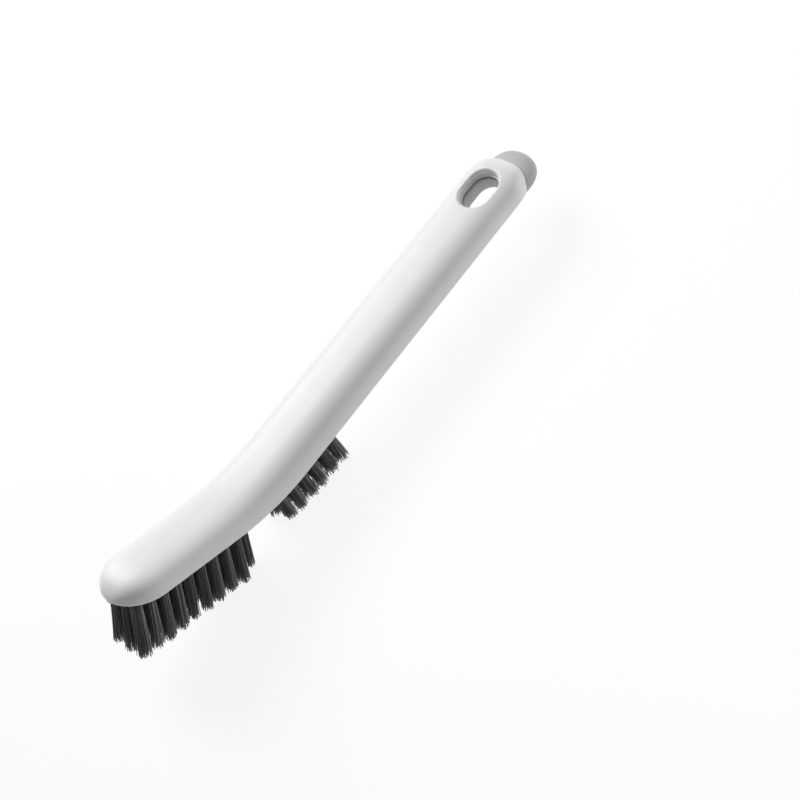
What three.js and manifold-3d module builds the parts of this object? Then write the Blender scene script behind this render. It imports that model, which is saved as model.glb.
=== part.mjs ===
// Shoe brush: a domed white top shell, bent once between head and handle, over a grey core that carries
// two fields of staple-set bristle tufts and leaves the shell at the tail as a rounded tongue.
// Millimetres, +Z up, +X from the head to the tail. The brush stands on the tips of its handle field
// and of the rearmost tufts of its head.
import * as THREE from 'three';
import { mergeGeometries, mergeVertices } from 'three/addons/utils/BufferGeometryUtils.js';
import Module from 'manifold-3d';

const wasm = await Module();
wasm.setup();

// Rim line: lengths run along it from the middle of the bend
const HEAD_LENGTH = 64.3;
const HANDLE_LENGTH = 148.5;
const BEND_ANGLE = THREE.MathUtils.degToRad(21.5);
const BEND_RADIUS = 90;

// Top shell: heights are above the rim
const SHELL_WIDTH = 25;
const HEAD_DOME_HEIGHT = 8.4;
const DOME_HEIGHT = 10.2;
const TAIL_DOME_HEIGHT = 8.6;
const DOME_BLEND_FRONT = 36;
const DOME_BLEND_BACK = 12;
const DOME_POWER = 3;
const NOSE_ROUND = 14.6;
const NOSE_RISE = 15.3;
const TAIL_ROUND = 12.5;
const TAIL_ROUND_POWER = 2.1;
const TAIL_RISE = 9;
const RISE_POWER = 2.3;
const SIDE_WALL = 1.5;
const ROOF = 2.4;

// Core under the shell, standing a little below its rim
const FIT_CLEARANCE = 0.3;
const CORE_DROP = 1;
const CORE_POWER = 4;
const CORE_NOSE_RISE = 8;
const TONGUE_REACH = 6.2;
const TONGUE_TOP = 3.4;
const TONGUE_POWER = 2.4;
const TONGUE_ROUND = 10.5;
const TONGUE_ROUND_POWER = 2.1;
const TONGUE_RISE = 4;
const TONGUE_TAPER = 14;

// Hang slot through shell and core, near the tail, with the core's wall standing in a little
const SLOT_LENGTH = 16.3;
const SLOT_WIDTH = 12.2;
const SLOT_STEP = 0.8;
const SLOT_FROM_TAIL = 16.5;

// Pegs under the shell's roof, in sockets of the core
const PEG_RADIUS = 1.8;
const PEG_DEPTH = 3.6;
const PEG_ROOT = 1.5;
const PEG_WALL = 1.5;

// Hollow in the top of the core, between the pegs of the handle
const HOLLOW_HALF_WIDTH = 9.2;
const HOLLOW_FLOOR = 1.2;

// Tufts: columns run along the brush, rows across it
const TUFT_PITCH = 5.35;
const ROW_SPACING = 5.4;
const HEAD_REAR_PAIR = 9;
const HEAD_REAR_PAIR_SPACING = 5.4;
const HEAD_FIRST_COLUMN = 14.2;
const HEAD_FRONT_MARGIN = 7.2;
const FIELD_FIRST_COLUMN = 5.5;
const FIELD_COLUMNS = 6;
const HOLE_RADIUS = 2.05;
const HOLE_SIDES = 6;
const SEAT_CLEARANCE = 0.25;

// Bristles: lengths run from the straight rim lines to the tips
const HEAD_BRISTLE_LENGTH = 24;
const FIELD_BRISTLE_LENGTH = 18.8;
const FLOOR_CUT = 0.5;
const TIP_UNEVENNESS = 0.8;
const STRANDS_PER_TUFT = 8;
const STRAND_RADIUS = 0.42;
const STRAND_SIDES = 3;
const TUFT_ROOT_RADIUS = 1.55;
const TUFT_TIP_RADIUS = 2.2;
const PLUG_HEIGHT = 1.4;

// Slice of backing that the strands of a field are fused to
const SLICE_THICKNESS = 1;
const SLICE_MARGIN = 0.3;
const SLICE_ROUND = 3;

// Flat wire anchor that holds a tuft in its hole
const ANCHOR_THICKNESS = 0.5;
const ANCHOR_HEIGHT = 1.3;

// Fineness of the facets
const ARC_STEPS = 16;
const CORE_ARC_STEPS = 12;
const CAP_STEPS = 6;
const BEND_STEPS = 6;
const BLEND_STEPS = 6;
const TAPER_STEPS = 5;
const ROUND_SIDES = 8;
const SLOT_END_FACETS = 7;

// Sizes that follow from the ones above
const HALF_BEND = BEND_RADIUS * BEND_ANGLE / 2;
const BEND_TANGENT = BEND_RADIUS * Math.tan(BEND_ANGLE / 2);
const HALF_WIDTH = SHELL_WIDTH / 2;
const CORE_HALF_WIDTH = HALF_WIDTH - SIDE_WALL - FIT_CLEARANCE;
const CORE_FRONT = -HEAD_LENGTH + SIDE_WALL + FIT_CLEARANCE;
const CORE_BACK = HANDLE_LENGTH + TONGUE_REACH;
const CORE_NOSE_ROUND = NOSE_ROUND - SIDE_WALL - FIT_CLEARANCE;
const CORE_FLOOR = -CORE_DROP;
const SLOT_START = HANDLE_LENGTH - SLOT_FROM_TAIL - SLOT_LENGTH / 2;
const STAND_HEIGHT = FIELD_BRISTLE_LENGTH - FLOOR_CUT;
const THROUGH = 2 * DOME_HEIGHT;
const HOLE_FLAT_RADIUS = HOLE_RADIUS * Math.cos(Math.PI / HOLE_SIDES);
const HOLE_DEPTH = SLICE_THICKNESS + PLUG_HEIGHT + ANCHOR_HEIGHT + 2 * SEAT_CLEARANCE;
const GOLDEN_ANGLE = Math.PI * (3 - Math.sqrt(5));
const GOLDEN_STEP = (Math.sqrt(5) - 1) / 2;
const UP_FROM_Y = Math.PI / 2;

// Frame on the rim line at a place along it: X towards the tail, Y across, Z up from the rim
function frameAt(place) {
  const turn = THREE.MathUtils.clamp((HALF_BEND - place) / BEND_RADIUS, 0, BEND_ANGLE);
  const straight = place > 0 ? Math.max(place - HALF_BEND, 0) : Math.min(place + HALF_BEND, 0);
  const x = BEND_TANGENT - BEND_RADIUS * Math.sin(turn) + straight * Math.cos(turn);
  const z = BEND_RADIUS * (1 - Math.cos(turn)) - straight * Math.sin(turn);
  return new THREE.Matrix4().makeRotationY(turn).setPosition(x, 0, z);
}

// Share of the full size at a distance from a rounded end of a given length
function rounded(distance, length, power) {
  const left = 1 - THREE.MathUtils.clamp(distance / length, 0, 1);
  return (1 - left ** power) ** (1 / power);
}

// Top of the dome above the rim: level over the head, highest in the bend and falling along the handle
function domeTopAt(place) {
  const toTail = THREE.MathUtils.clamp(place / HANDLE_LENGTH, 0, 1);
  const onHandle = THREE.MathUtils.lerp(DOME_HEIGHT, TAIL_DOME_HEIGHT, toTail);
  const behindHead = THREE.MathUtils.smoothstep(place, -DOME_BLEND_FRONT, DOME_BLEND_BACK);
  return THREE.MathUtils.lerp(HEAD_DOME_HEIGHT, onHandle, behindHead);
}

// Share of the way from the core's full section to the section of its tongue
function tongueShare(place) {
  return THREE.MathUtils.smoothstep(place, HANDLE_LENGTH - TONGUE_TAPER, HANDLE_LENGTH);
}

// Top of the core above the rim: under the shell's roof, then down to the tongue
function coreTopAt(place) {
  const roofed = domeTopAt(place) - ROOF - FIT_CLEARANCE;
  return THREE.MathUtils.lerp(roofed, TONGUE_TOP, tongueShare(place));
}

// Outline across a bar: straight sides from low up to floor, then a domed top
function outline(half, low, floor, top, power, steps) {
  const points = [[-half, low]];
  for (let step = 0; step <= steps; step++) {
    const angle = Math.PI * step / steps;
    const across = Math.cos(angle);
    const width = half * Math.sign(across) * Math.abs(across) ** (2 / power);
    const height = (top - floor) * Math.abs(Math.sin(angle)) ** (2 / power);
    points.push([-width, floor + height]);
  }
  points.push([half, low]);
  return points;
}

// Places for the outlines of a bar: close together at its rounded ends, round the bend and in the taper
function placesAlong(front, back, frontRound, backRound) {
  const places = [];
  for (let step = 0; step <= CAP_STEPS; step++) {
    const share = 1 - Math.cos(Math.PI / 2 * step / CAP_STEPS);
    places.push(front + frontRound * share, back - backRound * share);
  }
  for (let step = 0; step <= BEND_STEPS; step++) {
    places.push(HALF_BEND * (2 * step / BEND_STEPS - 1));
  }
  for (let step = 0; step <= BLEND_STEPS; step++) {
    places.push(THREE.MathUtils.lerp(-DOME_BLEND_FRONT, DOME_BLEND_BACK, step / BLEND_STEPS));
  }
  for (let step = 0; step <= TAPER_STEPS; step++) {
    places.push(HANDLE_LENGTH - TONGUE_TAPER * (1 - step / TAPER_STEPS));
  }
  const inside = places.filter((place) => place >= front && place <= back);
  inside.sort((a, b) => a - b);
  return inside;
}

// Closed bar through the outlines at a row of places
function loft(places, outlineAt) {
  const rings = places.map((place) => {
    const frame = frameAt(place);
    return outlineAt(place).map(([y, z]) => new THREE.Vector3(0, y, z).applyMatrix4(frame));
  });
  const count = rings[0].length;
  const index = [];
  for (let ring = 0; ring + 1 < rings.length; ring++) {
    for (let point = 0; point < count; point++) {
      const a = ring * count + point;
      const b = ring * count + (point + 1) % count;
      index.push(a, a + count, b, b, a + count, b + count);
    }
  }
  const last = (rings.length - 1) * count;
  for (let point = 1; point + 1 < count; point++) {
    index.push(0, point, point + 1, last, last + point + 1, last + point);
  }
  const geometry = new THREE.BufferGeometry().setFromPoints(rings.flat());
  geometry.setIndex(index);
  return geometry;
}

// Closed geometry as a solid that can be joined and cut
function solidOf(geometry) {
  const bare = geometry.clone();
  bare.deleteAttribute('normal');
  bare.deleteAttribute('uv');
  const merged = mergeVertices(bare);
  const corners = merged.index.array;
  const kept = [];
  for (let i = 0; i < corners.length; i += 3) {
    const [a, b, c] = corners.slice(i, i + 3);
    if (a !== b && b !== c && c !== a) {
      kept.push(a, b, c);
    }
  }
  return new wasm.Manifold(new wasm.Mesh({
    numProp: 3,
    vertProperties: new Float32Array(merged.attributes.position.array),
    triVerts: new Uint32Array(kept),
  }));
}

// Named mesh of a solid
function meshOf(name, solid, material) {
  const { vertProperties, triVerts } = solid.getMesh();
  const geometry = new THREE.BufferGeometry();
  geometry.setAttribute('position', new THREE.BufferAttribute(vertProperties, 3));
  geometry.setIndex(new THREE.BufferAttribute(triVerts, 1));
  geometry.computeVertexNormals();
  const mesh = new THREE.Mesh(geometry, material);
  mesh.name = name;
  return mesh;
}

// Upright prism of a round outline, from one height to another, in a frame
function roundPrism(radius, sides, from, to, frame) {
  const geometry = new THREE.CylinderGeometry(radius, radius, to - from, sides);
  geometry.rotateX(UP_FROM_Y).translate(0, 0, (from + to) / 2);
  return geometry.applyMatrix4(frame);
}

// Upright prism with two parallel sides and round ends of a number of facets, along the handle
function stadiumPrism(start, end, halfWidth, from, to, facets) {
  const points = [];
  for (const [middle, turn] of [[end - halfWidth, 0], [start + halfWidth, Math.PI]]) {
    for (let facet = 0; facet <= facets; facet++) {
      const angle = turn + Math.PI * (facet / facets - 1 / 2);
      points.push(new THREE.Vector2(middle + halfWidth * Math.cos(angle), halfWidth * Math.sin(angle)));
    }
  }
  const extrusion = { depth: to - from, bevelEnabled: false };
  const geometry = new THREE.ExtrudeGeometry(new THREE.Shape(points), extrusion);
  return geometry.translate(xOnHandle(0), 0, from);
}

// Shift from a place along the rim line to X on the handle's straight stretch
function xOnHandle(place) {
  return place + BEND_TANGENT - HALF_BEND;
}

// Core, grown on all sides, with its straight sides starting at a height
function coreBar(grow, low) {
  const front = CORE_FRONT - grow;
  const back = CORE_BACK + grow;
  const half = CORE_HALF_WIDTH + grow;
  const noseRound = CORE_NOSE_ROUND + grow;
  const places = placesAlong(front, back, noseRound, TONGUE_ROUND);
  return loft(places, (place) => {
    const frontShare = rounded(place - front, noseRound, 2);
    const backShare = rounded(back - place, TONGUE_ROUND, TONGUE_ROUND_POWER);
    const frontRise = rounded(place - front, CORE_NOSE_RISE, RISE_POWER);
    const backRise = rounded(back - place, TONGUE_RISE, RISE_POWER);
    const top = CORE_FLOOR + (coreTopAt(place) + grow - CORE_FLOOR) * frontRise * backRise;
    const power = THREE.MathUtils.lerp(CORE_POWER, TONGUE_POWER, tongueShare(place));
    return outline(half * frontShare * backShare, low, CORE_FLOOR, top, power, CORE_ARC_STEPS);
  });
}

// Outer form of the top shell, down to the rim
function domeBar() {
  const places = placesAlong(-HEAD_LENGTH, HANDLE_LENGTH, NOSE_ROUND, TAIL_ROUND);
  return loft(places, (place) => {
    const front = place + HEAD_LENGTH;
    const back = HANDLE_LENGTH - place;
    const backShare = rounded(back, TAIL_ROUND, TAIL_ROUND_POWER);
    const half = HALF_WIDTH * rounded(front, NOSE_ROUND, 2) * backShare;
    const rise = rounded(front, NOSE_RISE, RISE_POWER) * rounded(back, TAIL_RISE, RISE_POWER);
    return outline(half, 0, 0, domeTopAt(place) * rise, DOME_POWER, ARC_STEPS);
  });
}

// Slot that a hook passes through, made smaller all round by a step
function slotPrism(step) {
  const start = SLOT_START + step;
  const end = SLOT_START + SLOT_LENGTH - step;
  return stadiumPrism(start, end, SLOT_WIDTH / 2 - step, -THROUGH, THROUGH, SLOT_END_FACETS);
}

// Tufts of the head: full columns of three, and a pair behind them
function headTufts() {
  const room = HEAD_LENGTH - HEAD_FRONT_MARGIN - HEAD_FIRST_COLUMN;
  const columns = Math.floor(room / TUFT_PITCH) + 1;
  const tufts = [-1, 1].map((side) => ({
    place: -HEAD_REAR_PAIR,
    y: side * HEAD_REAR_PAIR_SPACING / 2,
  }));
  for (let column = 0; column < columns; column++) {
    for (const row of [-1, 0, 1]) {
      tufts.push({ place: -HEAD_FIRST_COLUMN - column * TUFT_PITCH, y: row * ROW_SPACING });
    }
  }
  return tufts;
}

// Tufts of the handle's field: full columns of three
function fieldTufts() {
  const tufts = [];
  for (let column = 0; column < FIELD_COLUMNS; column++) {
    for (const row of [-1, 0, 1]) {
      tufts.push({ place: FIELD_FIRST_COLUMN + column * TUFT_PITCH, y: row * ROW_SPACING });
    }
  }
  return tufts;
}

// Frame of a tuft on the core's underside, with Z along its bristles towards the shell
function tuftFrame(tuft, lean) {
  const root = new THREE.Vector3(0, tuft.y, CORE_FLOOR).applyMatrix4(frameAt(tuft.place));
  return new THREE.Matrix4().makeRotationY(lean).setPosition(root);
}

// Slab along the rim line under a field of tufts, grown on all sides, from low up to its top
function sliceSlab(tufts, grow, low) {
  const places = tufts.map((tuft) => tuft.place);
  const reach = HOLE_RADIUS + SLICE_MARGIN + grow;
  const front = Math.min(...places) - reach;
  const back = Math.max(...places) + reach;
  const wide = Math.max(...tufts.map((tuft) => tuft.y)) + reach;
  const narrow = wide - SLICE_ROUND;
  const top = CORE_FLOOR + SLICE_THICKNESS + grow;
  return loft(placesAlong(front, back, SLICE_ROUND, SLICE_ROUND), (place) => {
    const end = Math.min(place - front, back - place);
    const half = narrow + SLICE_ROUND * rounded(end, SLICE_ROUND, 2);
    return [[-half, low], [-half, top], [half, top], [half, low]];
  });
}

// Height of a tuft's root above the straight rim line of its own field
function rootHeight(tuft, lean) {
  const level = new THREE.Matrix4().makeRotationY(-lean);
  return new THREE.Vector3().setFromMatrixPosition(tuftFrame(tuft, lean)).applyMatrix4(level).z;
}

// Strands of one tuft, spread from root to tip, none of them crossing
function tuftStrands(tuft, number, lean, length) {
  const frame = tuftFrame(tuft, lean);
  const full = length + rootHeight(tuft, lean);
  const strands = [];
  for (let strand = 0; strand < STRANDS_PER_TUFT; strand++) {
    const spread = Math.sqrt((strand + 0.5) / STRANDS_PER_TUFT);
    const angle = strand * GOLDEN_ANGLE;
    const flare = (TUFT_TIP_RADIUS - TUFT_ROOT_RADIUS) * spread / full;
    const shorter = TIP_UNEVENNESS * ((number * STRANDS_PER_TUFT + strand) * GOLDEN_STEP % 1);
    const root = SLICE_THICKNESS / 2;
    const prism = roundPrism(STRAND_RADIUS, STRAND_SIDES, shorter - full, root, new THREE.Matrix4());
    const lay = new THREE.Matrix4().makeShear(0, 0, 0, 0, -flare * Math.cos(angle), -flare * Math.sin(angle));
    const foot = spread * TUFT_ROOT_RADIUS;
    lay.setPosition(foot * Math.cos(angle), foot * Math.sin(angle), 0);
    strands.push(prism.applyMatrix4(lay).applyMatrix4(frame));
  }
  return strands;
}

// Bristles of a field: strands and root plugs fused to a slice, trimmed flat where the brush stands
function bristleField(tufts, lean, length) {
  const strands = tufts.flatMap((tuft, number) => tuftStrands(tuft, number, lean, length));
  const plugRadius = HOLE_RADIUS - SEAT_CLEARANCE / Math.cos(Math.PI / HOLE_SIDES);
  const plugs = tufts.map((tuft) => roundPrism(
    plugRadius, HOLE_SIDES, SLICE_THICKNESS / 2, SLICE_THICKNESS + PLUG_HEIGHT, tuftFrame(tuft, lean)));
  const reach = 2 * (HEAD_LENGTH + HANDLE_LENGTH);
  const ground = new THREE.BoxGeometry(reach, reach, STAND_HEIGHT);
  ground.translate(0, 0, -STAND_HEIGHT - STAND_HEIGHT / 2);
  return solidOf(sliceSlab(tufts, 0, CORE_FLOOR))
    .add(solidOf(mergeGeometries(strands)))
    .add(solidOf(mergeGeometries(plugs)))
    .subtract(solidOf(ground));
}

const HEAD_TUFTS = headTufts();
const FIELD_TUFTS = fieldTufts();
const FIELD_END = Math.max(...FIELD_TUFTS.map((tuft) => tuft.place)) + HOLE_RADIUS;
const SOCKET_RADIUS = PEG_RADIUS + FIT_CLEARANCE;
const FIRST_PEG = FIELD_END + PEG_WALL + SOCKET_RADIUS;
const LAST_PEG = SLOT_START - PEG_WALL - SOCKET_RADIUS;
const BEND_PEG = (FIELD_FIRST_COLUMN - HEAD_REAR_PAIR) / 2;
const PEG_PLACES = [BEND_PEG, FIRST_PEG, LAST_PEG];

// Peg of the shell at a place, or its socket when grown by the clearance
function pegPrism(place, grow, to) {
  const tip = coreTopAt(place) - PEG_DEPTH - grow;
  return roundPrism(PEG_RADIUS + grow, ROUND_SIDES, tip, to, frameAt(place));
}

// Top shell: the dome, hollowed for the core, with pegs and the slot
function topShell() {
  const pegs = PEG_PLACES.map((place) => pegPrism(place, 0, coreTopAt(place) + FIT_CLEARANCE + PEG_ROOT));
  return solidOf(domeBar())
    .subtract(solidOf(coreBar(FIT_CLEARANCE, -THROUGH)))
    .add(solidOf(mergeGeometries(pegs)))
    .subtract(solidOf(slotPrism(0)));
}

// Core: a solid bar with pockets for the slices, tuft holes, peg sockets, a hollow and the slot
function bristleCore() {
  const sockets = PEG_PLACES.map((place) => pegPrism(place, FIT_CLEARANCE, THROUGH));
  const boss = SOCKET_RADIUS + PEG_WALL;
  const hollow = stadiumPrism(
    FIRST_PEG + boss, LAST_PEG - boss, HOLLOW_HALF_WIDTH, CORE_FLOOR + HOLLOW_FLOOR, THROUGH, ROUND_SIDES / 2);
  let core = solidOf(coreBar(0, CORE_FLOOR))
    .subtract(solidOf(mergeGeometries(sockets)))
    .subtract(solidOf(hollow))
    .subtract(solidOf(slotPrism(SLOT_STEP)));
  for (const [tufts, lean] of [[HEAD_TUFTS, BEND_ANGLE], [FIELD_TUFTS, 0]]) {
    const holes = tufts.map((tuft) => roundPrism(
      HOLE_RADIUS, HOLE_SIDES, SLICE_THICKNESS / 2, HOLE_DEPTH, tuftFrame(tuft, lean)));
    core = core
      .subtract(solidOf(sliceSlab(tufts, SEAT_CLEARANCE, -THROUGH)))
      .subtract(solidOf(mergeGeometries(holes)));
  }
  return core;
}

// Anchors of a field, one across each tuft hole above the root plug
function anchors(name, tufts, lean, material) {
  const length = 2 * (HOLE_FLAT_RADIUS - SEAT_CLEARANCE);
  const middle = SLICE_THICKNESS + PLUG_HEIGHT + SEAT_CLEARANCE + ANCHOR_HEIGHT / 2;
  return tufts.map((tuft, number) => {
    const bar = new THREE.BoxGeometry(ANCHOR_THICKNESS, length, ANCHOR_HEIGHT);
    const mesh = new THREE.Mesh(bar, material.clone());
    mesh.name = `${name}_${String(number + 1).padStart(2, '0')}`;
    mesh.position.set(0, 0, middle).applyMatrix4(tuftFrame(tuft, lean));
    mesh.rotation.y = lean;
    return mesh;
  });
}

const whitePlastic = new THREE.MeshStandardMaterial({ color: 0xf3f3f1, roughness: 0.45, metalness: 0 });
const greyPlastic = new THREE.MeshStandardMaterial({ color: 0x98989a, roughness: 0.5, metalness: 0 });
const nylon = new THREE.MeshStandardMaterial({ color: 0x3c3c3e, roughness: 0.6, metalness: 0 });
const wire = new THREE.MeshStandardMaterial({ color: 0xb8b8b8, roughness: 0.35, metalness: 1 });

const brush = new THREE.Group();
brush.add(
  meshOf('top_shell', topShell(), whitePlastic),
  meshOf('bristle_core', bristleCore(), greyPlastic),
  meshOf('head_bristles', bristleField(HEAD_TUFTS, BEND_ANGLE, HEAD_BRISTLE_LENGTH), nylon),
  meshOf('handle_bristles', bristleField(FIELD_TUFTS, 0, FIELD_BRISTLE_LENGTH), nylon.clone()),
  ...anchors('head_anchor', HEAD_TUFTS, BEND_ANGLE, wire),
  ...anchors('handle_anchor', FIELD_TUFTS, 0, wire),
);

// The origin is under the middle of the brush, on the ground that the bristle tips stand on
const middle = new THREE.Box3().setFromObject(brush, true).getCenter(new THREE.Vector3());
brush.position.set(-middle.x, 0, STAND_HEIGHT);

export default brush;
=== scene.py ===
"""Shoe brush: a domed white shell over a grey core that carries two fields of dark bristle tufts.

Sizes along and across the brush are in millimetres on its rim line, which runs straight along the head,
through one bend and straight along the handle. A place is a distance on that line from the middle of the
bend, towards the tail. Meshes are in metres, in the frame of the CAD model.
"""
import math

import bmesh
import bpy
import numpy as np
from bpy.props import FloatProperty, FloatVectorProperty, IntProperty, PointerProperty
from mathutils import Matrix, Vector


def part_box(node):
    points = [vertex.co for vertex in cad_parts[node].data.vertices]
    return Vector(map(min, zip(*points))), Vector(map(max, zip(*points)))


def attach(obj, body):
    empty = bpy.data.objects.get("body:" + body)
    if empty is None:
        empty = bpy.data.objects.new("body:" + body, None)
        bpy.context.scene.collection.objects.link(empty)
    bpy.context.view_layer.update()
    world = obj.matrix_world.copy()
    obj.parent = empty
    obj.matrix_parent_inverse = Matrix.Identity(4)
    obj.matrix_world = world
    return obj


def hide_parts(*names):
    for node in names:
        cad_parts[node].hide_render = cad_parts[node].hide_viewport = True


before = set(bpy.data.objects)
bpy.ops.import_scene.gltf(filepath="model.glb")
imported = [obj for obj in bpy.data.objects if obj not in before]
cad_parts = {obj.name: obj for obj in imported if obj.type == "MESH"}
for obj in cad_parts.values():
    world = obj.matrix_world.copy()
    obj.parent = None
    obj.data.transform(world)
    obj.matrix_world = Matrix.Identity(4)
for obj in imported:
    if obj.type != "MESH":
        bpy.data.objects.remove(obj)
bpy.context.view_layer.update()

bl_info = {
    "name": "Shoe Brush",
    "version": (1, 0, 0),
    "blender": (4, 5, 0),
    "location": "3D View > Sidebar > Shoe Brush",
    "description": "Builds the shell, core and bristle tufts of a slim shoe brush on its CAD frame",
    "category": "Add Mesh",
}

MM = 0.001

# Rim line
HEAD_LENGTH = 64.3
HANDLE_LENGTH = 148.5
BEND_ANGLE = math.radians(21.5)
BEND_RADIUS = 90.0
HALF_BEND = BEND_RADIUS * BEND_ANGLE / 2
BEND_TANGENT = BEND_RADIUS * math.tan(BEND_ANGLE / 2)

# Shell
HALF_WIDTH = 12.5
HEAD_DOME_HEIGHT = 8.4
DOME_HEIGHT = 10.2
TAIL_DOME_HEIGHT = 8.6
DOME_POWER = 3.0
DOME_BLEND = (-36.0, 12.0)
NOSE_ROUND = 14.6
NOSE_ROUND_POWER = 2
NOSE_RISE = 15.3
TAIL_ROUND = 12.5
TAIL_ROUND_POWER = 2.1
TAIL_RISE = 9.0
RISE_POWER = 2.3
SIDE_WALL = 1.5
ROOF = 3.1
THINNEST_RIM = 0.08

# Core
FIT_CLEARANCE = 0.3
CORE_FLOOR = -1.0
CORE_HALF_WIDTH = HALF_WIDTH - SIDE_WALL - FIT_CLEARANCE
CORE_FRONT = -HEAD_LENGTH + SIDE_WALL + FIT_CLEARANCE
CORE_NOSE_ROUND = NOSE_ROUND - SIDE_WALL - FIT_CLEARANCE
CORE_POWER = 4.0
CORE_NOSE_RISE = 8.0
TONGUE_REACH = 6.2
TONGUE_TOP = 3.4
TONGUE_POWER = 2.4
TONGUE_ROUND = 10.5
TONGUE_ROUND_POWER = 2.1
TONGUE_RISE = 4.0
TONGUE_TAPER = 14.0
CORE_BACK = HANDLE_LENGTH + TONGUE_REACH

# Hang slot: the step and the groove are in the core, and the lip's rounding is a share of its reach
SLOT_FROM_TAIL = 16.5
SLOT_LENGTH = 16.3
SLOT_RADIUS = 6.1
SLOT_STEP = 0.8
SLOT_GROOVE = 0.75
LIP_ROUND = 0.5
SLOT_PLACE = HANDLE_LENGTH - SLOT_FROM_TAIL
SLOT_STRAIGHT = SLOT_LENGTH / 2 - SLOT_RADIUS
SLOT_MIDDLE = np.array([[SLOT_PLACE], [0]])

# Tufts
TUFT_PITCH = 5.35
ROW_SPACING = 5.4
ROWS = ROW_SPACING * np.array([-1, 0, 1])
HEAD_REAR_PAIR = 9.0
HEAD_FIRST_COLUMN = 14.2
HEAD_COLUMNS = 9
FIELD_FIRST_COLUMN = 5.5
FIELD_COLUMNS = 6
HEAD_BRISTLE_LENGTH = 24.0
FIELD_BRISTLE_LENGTH = 18.8
ROOT_DEPTH = 0.8

# Lean of whole tufts: how far the tips stand off the roots at the head's front and next to the bend
FRONT_LEAN = 1.9
FAN_START = 28.0
FRONT_SHIFT = 1.1
ROW_FAN = 0.9
BEND_LEAN = 1.7
BEND_REACH = 2 * TUFT_PITCH
BEND_SHORTER = 2.6

# Spread of the filaments in a tuft: shares of its radius, or millimetres for the strays, the bow and lengths
GOLDEN_TURN = 3 - math.sqrt(5)
CLUMPS = 7
CLUMP_DEPTH = 0.03
FOOT_SCATTER = 0.03
TUFT_FLARE = (0.85, 1.12)
TIP_SCATTER = 0.08
TUFT_STRAY = 0.22
FILAMENT_STRAY = 0.14
FILAMENT_BOW = 0.25
RAGGED_POWERS = (1.2, 3.0)
TUFT_SHORTER = 0.5
FLARE_POWER = 1.4
TIP_TAPER = 0.2
THICKNESS_SPAN = (0.85, 1.15)

# Finish: a noise is its scale per metre and its detail
NOISE_SPAN = (0.3, 0.7)
CLOUD_NOISE = (60, 3)
SATIN_NOISE = (260, 4)
SATIN_SPREAD = 0.02
GRAIN_DETAIL = 2
GRAIN_DEPTH = 0.0001
PLASTIC_IOR = 1.5
TONE_MIDDLE = 0.34
# Painted light: how much paler the filaments are on their tuft's side towards the tail
PAINTED_SIDE_LIGHT = 0.5
TONE_SPREAD = 0.28
TONE_DARK = 0.08
TONE_PALE = 4.2
NYLON_NOISE = (900, 2)
NYLON_ROUGHNESS = (0.38, 0.52)
NYLON_IOR = 1.52
WIRE_TONE_NOISE = (4000, 3)
WIRE_DULL = (0.45, 0.45, 0.44)
WIRE_BRIGHT = (0.62, 0.62, 0.6)
WIRE_NOISE = (2500, 2)
WIRE_ROUGHNESS = (0.3, 0.45)

# Fineness of the surfaces: stations are the sections at the nose, in the middle and at the tail
SHELL_STATIONS = (34, 100, 30)
CORE_STATIONS = (16, 70, 44)
PATCH_STATIONS = 30
PATCH_REACH = 10.8
SHELL_PATCH_POINTS = 15
CORE_PATCH_POINTS = 9
INNER_STEPS = 24
RIM_STEPS = 9
DOME_STEPS = 36
UNDER_STEPS = 12
CORE_EDGE_STEPS = 5
CORE_STEPS = 24
COLLAR_RINGS = 7
SHELL_ROUND_RINGS = 8
CORE_ROUND_RINGS = 5
WALL_RINGS = 5
LIP_RINGS = 7
FILAMENT_PARTS = 5
SIDES = 4
HALVINGS = 50

# Where the lofts end, just short of a section without width
NOSE_CUT = 0.008
TAIL_CUT = 0.05
CORE_NOSE_CUT = 0.01
TONGUE_CUT = 0.004
FRONT_STEP = 0.001

# Limits: the most of a wall that a rounded edge takes, then smallest sizes, the last two in metres
EDGE_SHARE = 0.8
LEAST_RISE = 1e-4
TINY = 1e-6
MERGE_DISTANCE = 2e-6
SHORTEST_EDGE = 1e-6

# The brush frame's origin in the frame of the CAD model
SHIFT_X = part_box("bristle_core")[1].x / MM - (CORE_BACK + BEND_TANGENT - HALF_BEND)
SHIFT_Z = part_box("top_shell")[0].z / MM

# Stage, in metres: the floor's own weak glow rises from nothing to full over a span of x, head to tail
FLOOR_REACH = 4.0
FLOOR_WHITE = (0.9, 0.9, 0.9, 1)
FLOOR_ROUGHNESS = 0.9
FLOOR_GLOW = 0.86
TAIL_GLOW = 0.25
TAIL_GLOW_SPAN = (-0.16, 0.0)
KEY_PLACE = (0.12, 0.70, 0.68)
KEY_SIZE = 0.55
SIDE_PLACE = (0.8, -0.5, 0.12)
SIDE_SIZE = 0.3
HEAD_SIDE_LIGHT = 0.3
WHITE = (1, 1, 1, 1)

# Camera of the photograph: degrees, metres, its aim in millimetres on the brush, and pixels of the frame
CAMERA_AZIMUTH = -20.938
CAMERA_ELEVATION = 49.657
CAMERA_ROLL = -35.420
CAMERA_DISTANCE = 0.9
CAMERA_NEAREST = 0.01
AIM_X = 45.0
AIM_Z = -18.0
CAMERA_TARGET = ((AIM_X + SHIFT_X) * MM, 0.0, (SHIFT_Z + AIM_Z) * MM)
CAMERA_SCALE = 2911.5
CAMERA_CENTRE = (353.75, 422.76)
FRAME_PIXELS = 800
SENSOR = 36.0


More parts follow.
